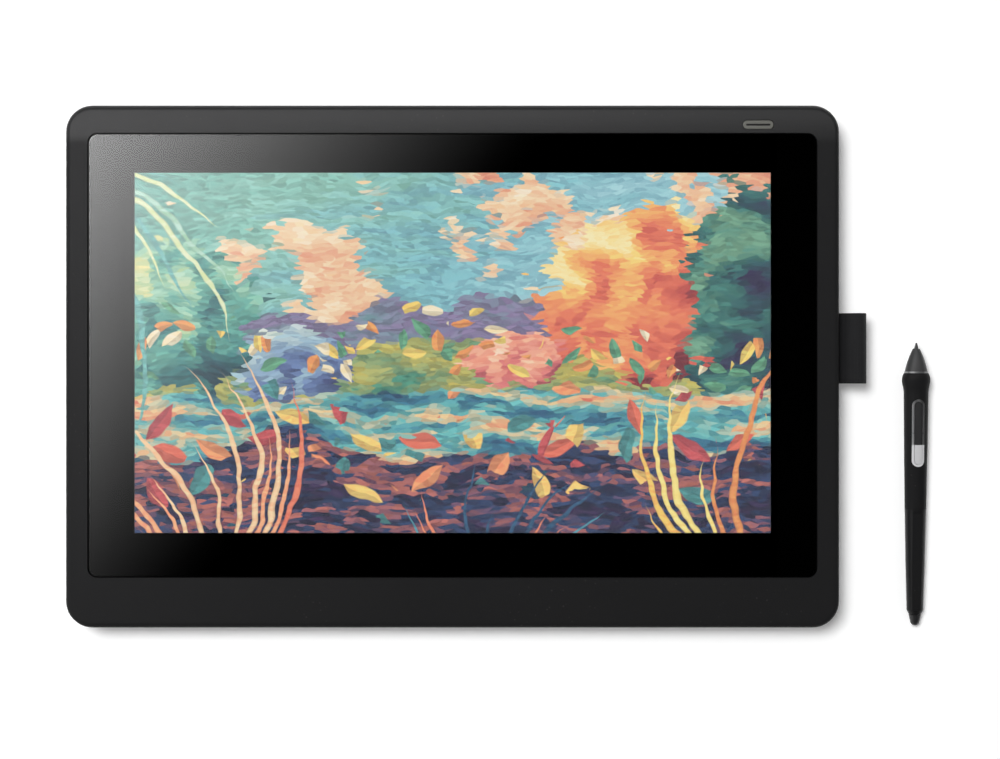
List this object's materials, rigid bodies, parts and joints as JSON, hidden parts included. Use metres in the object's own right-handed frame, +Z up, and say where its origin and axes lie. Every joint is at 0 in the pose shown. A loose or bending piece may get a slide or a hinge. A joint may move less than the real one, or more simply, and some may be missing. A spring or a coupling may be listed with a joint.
{
  "type": "graphics tablet",
  "caption": "Pen display with a glass front in a black case, fold-out rear legs, a fabric pen loop on its right side and the pen that lies beside it.",
  "frame": {"origin": "on the desk, under the middle of the tablet, its pen loop and the pen taken together", "axes": "+X to the right, +Y to the far edge of the tablet, +Z up out of the glass"},
  "size_m": [0.475, 0.2862, 0.0246],
  "materials": {
    "case_plastic": "fine moulded grain",
    "cover_glass": "clear, etched very finely",
    "black_film": "matte",
    "picture": "lit picture",
    "clear_plastic": "clear",
    "sheet_steel": "satin",
    "chassis_aluminium": "satin",
    "board_green": "lacquered",
    "socket_steel": "satin",
    "flat_cable": "film",
    "switch_plastic": "matte",
    "key_plastic": "satin",
    "light_slit": "smoked",
    "screw_steel": "satin",
    "rubber": "matte",
    "nib_plastic": "satin",
    "loop_fabric": "woven elastic",
    "pen_plastic": "satin",
    "accent_metal": "satin",
    "grip_rubber": "soft touch",
    "bezel_metal": "satin",
    "rocker_dark": "satin",
    "rocker_pale": "satin",
    "ferrite": "sintered",
    "copper": "enamelled wire",
    "eraser_plastic": "satin"
  },
  "bodies": {
    "tablet": {"front_frame": "case_plastic", "rear_cover": "case_plastic", "pen_loop_anchor": "case_plastic", "nib_holder": "case_plastic", "cover_glass": "cover_glass", "glass_adhesive": "black_film", "lcd_cell": "picture", "light_guide": "clear_plastic", "light_bar": "board_green", "backlight_tray": "sheet_steel", "pen_sensor_board": "board_green", "shield_sheet": "sheet_steel", "chassis_plate": "chassis_aluminium", "main_board": "board_green", "cable_socket": "socket_steel", "display_driver_board": "board_green", "display_flat_cable": "flat_cable", "sensor_flat_cable": "flat_cable", "key_flat_cable": "flat_cable", "key_board": "board_green", "power_switch": "switch_plastic", "case_screws": "screw_steel", "board_screws": "screw_steel", "near_feet": "rubber", "far_feet": "rubber", "leg_pin_left": "screw_steel", "leg_pin_right": "screw_steel", "spare_nibs": "nib_plastic", "nib_removal_ring": "screw_steel", "pen_loop": "loop_fabric"},
    "leg_left": {"leg_left": "case_plastic", "leg_foot_left": "rubber"},
    "leg_right": {"leg_right": "case_plastic", "leg_foot_right": "rubber"},
    "power_key": {"power_key": "key_plastic", "status_light_guide": "light_slit", "power_plunger": "switch_plastic"},
    "pen": {"pen_nose": "pen_plastic", "pen_accent_ring": "accent_metal", "pen_grip": "grip_rubber", "pen_barrel": "pen_plastic", "pen_switch_bezel": "bezel_metal", "pen_switch_domes": "socket_steel", "pen_circuit_board": "board_green", "pen_ferrite": "ferrite", "pen_winding": "copper", "pen_pressure_sensor": "switch_plastic", "pen_eraser_ferrite": "ferrite"},
    "pen_nib": {"pen_nib": "nib_plastic", "pen_nib_carrier": "switch_plastic"},
    "pen_rocker": {"pen_rocker": "rocker_dark", "pen_rocker_pale": "rocker_pale"},
    "pen_eraser": {"pen_eraser": "eraser_plastic"}
  },
  "joints": [
    {"name": "leg_left_fold", "type": "hinge", "parent": "tablet", "child": "leg_left", "pos_m": [-0.1865, 0.10458, 0.0052], "axis": [1, 0, 0], "range_deg": [0, 90]},
    {"name": "leg_right_fold", "type": "hinge", "parent": "tablet", "child": "leg_right", "pos_m": [0.1335, 0.10458, 0.0052], "axis": [1, 0, 0], "range_deg": [0, 90]},
    {"name": "power_key_press", "type": "slide", "parent": "tablet", "child": "power_key", "axis": [0, 0, -1], "range_m": [0, 0.0005], "stiffness_N_per_m": 2000},
    {"name": "pen_pick_up", "type": "slide", "parent": "tablet", "child": "pen", "axis": [0, 0, 1], "range_m": [0, 0.15]},
    {"name": "nib_press", "type": "slide", "parent": "pen", "child": "pen_nib", "axis": [0, -0.9997, -0.0251], "range_m": [0, 0.0005], "stiffness_N_per_m": 2000},
    {"name": "side_switch_tilt", "type": "hinge", "parent": "pen", "child": "pen_rocker", "pos_m": [0.2298, -0.03605, 0.01258], "axis": [1, 0, 0], "range_deg": [-2, 2], "stiffness_Nm_per_rad": 0.3},
    {"name": "eraser_press", "type": "slide", "parent": "pen", "child": "pen_eraser", "axis": [0, 0.9997, 0.0251], "range_m": [0, 0.0005], "stiffness_N_per_m": 2000}
  ]
}
